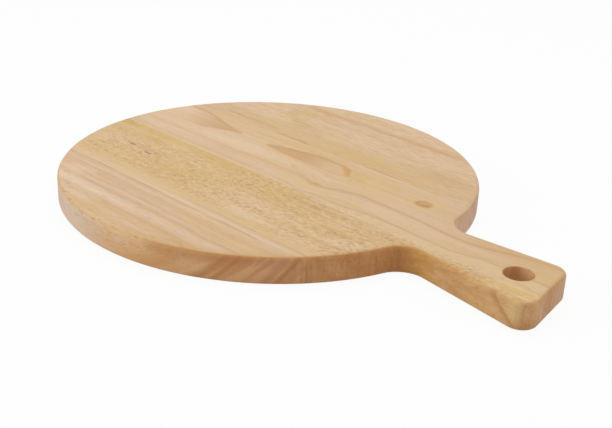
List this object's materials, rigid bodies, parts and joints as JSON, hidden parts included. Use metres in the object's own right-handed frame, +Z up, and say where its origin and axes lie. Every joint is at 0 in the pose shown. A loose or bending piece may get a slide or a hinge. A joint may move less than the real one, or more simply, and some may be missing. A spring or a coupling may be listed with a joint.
{
  "type": "pizza serving board",
  "caption": "Round wooden serving board glued up from staves, with a flat flared handle, rounded edges and a hanging hole.",
  "frame": {"origin": "middle of the round plate, on the underside", "axes": "+Z up through the board's thickness, +X from the plate's middle along the handle, +Y towards the board's back"},
  "size_m": [0.3966, 0.3, 0.019],
  "materials": {
    "striped_wood": "satin",
    "flecked_wood": "satin",
    "figured_wood": "satin",
    "plain_wood": "satin"
  },
  "bodies": {
    "root": {"front_stave": "striped_wood", "flecked_stave": "flecked_wood", "handle_stave": "figured_wood", "back_stave": "plain_wood", "rear_stave": "plain_wood"}
  },
  "joints": []
}
